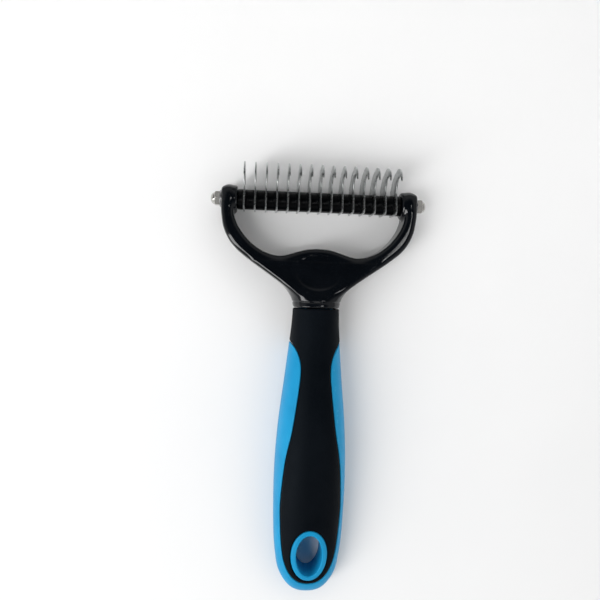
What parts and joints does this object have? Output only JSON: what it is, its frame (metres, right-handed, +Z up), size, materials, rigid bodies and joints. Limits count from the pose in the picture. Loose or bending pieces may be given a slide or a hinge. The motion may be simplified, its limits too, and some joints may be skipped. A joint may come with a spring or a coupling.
{
  "type": "dematting comb",
  "caption": "Pet dematting rake: hooked steel blades and plastic spacers on a cross stud between the arms of a black yoke, on a blue and black soft-grip handle with a hanging hole.",
  "frame": {"origin": "on the table, under the middle of the comb's footprint, with the comb lying on its back", "axes": "+X across the head to the right, +Y along the handle towards the head, +Z up, the way the claws face"},
  "size_m": [0.0824, 0.1636, 0.0188],
  "materials": {
    "yoke_black": "injection moulded, polished, near black",
    "spacer_black": "moulded, semi-gloss black",
    "core_blue": "moulded, satin sky blue",
    "grip_black": "soft-touch overmould, fine matte texture",
    "blade_steel": "stamped and ground stainless strip",
    "stud_steel": "turned and threaded steel",
    "washer_steel": "zinc-plated steel",
    "nut_nickel": "bright nickel plate"
  },
  "bodies": {
    "comb": {"yoke": "yoke_black", "handle_core": "core_blue", "grip_sleeve": "grip_black", "cross_stud": "stud_steel", "blade_01": "blade_steel", "blade_02": "blade_steel", "blade_03": "blade_steel", "blade_04": "blade_steel", "blade_05": "blade_steel", "blade_06": "blade_steel", "blade_07": "blade_steel", "blade_08": "blade_steel", "blade_09": "blade_steel", "blade_10": "blade_steel", "blade_11": "blade_steel", "blade_12": "blade_steel", "blade_13": "blade_steel", "blade_14": "blade_steel", "blade_15": "blade_steel", "spacer_01": "spacer_black", "spacer_02": "spacer_black", "spacer_03": "spacer_black", "spacer_04": "spacer_black", "spacer_05": "spacer_black", "spacer_06": "spacer_black", "spacer_07": "spacer_black", "spacer_08": "spacer_black", "spacer_09": "spacer_black", "spacer_10": "spacer_black", "spacer_11": "spacer_black", "spacer_12": "spacer_black", "spacer_13": "spacer_black", "spacer_14": "spacer_black", "end_collar_left": "spacer_black", "end_collar_right": "spacer_black", "washer_left": "washer_steel", "washer_right": "washer_steel"},
    "left_nut": {"cap_nut_left": "nut_nickel"},
    "right_nut": {"cap_nut_right": "nut_nickel"}
  },
  "joints": [
    {"name": "left_nut_turn", "type": "hinge", "parent": "comb", "child": "left_nut", "pos_m": [-0.0395, 0.06904, 0.0058], "axis": [-1, 0, 0], "continuous": true},
    {"name": "right_nut_turn", "type": "hinge", "parent": "comb", "child": "right_nut", "pos_m": [0.0395, 0.06904, 0.0058], "axis": [1, 0, 0], "continuous": true}
  ]
}
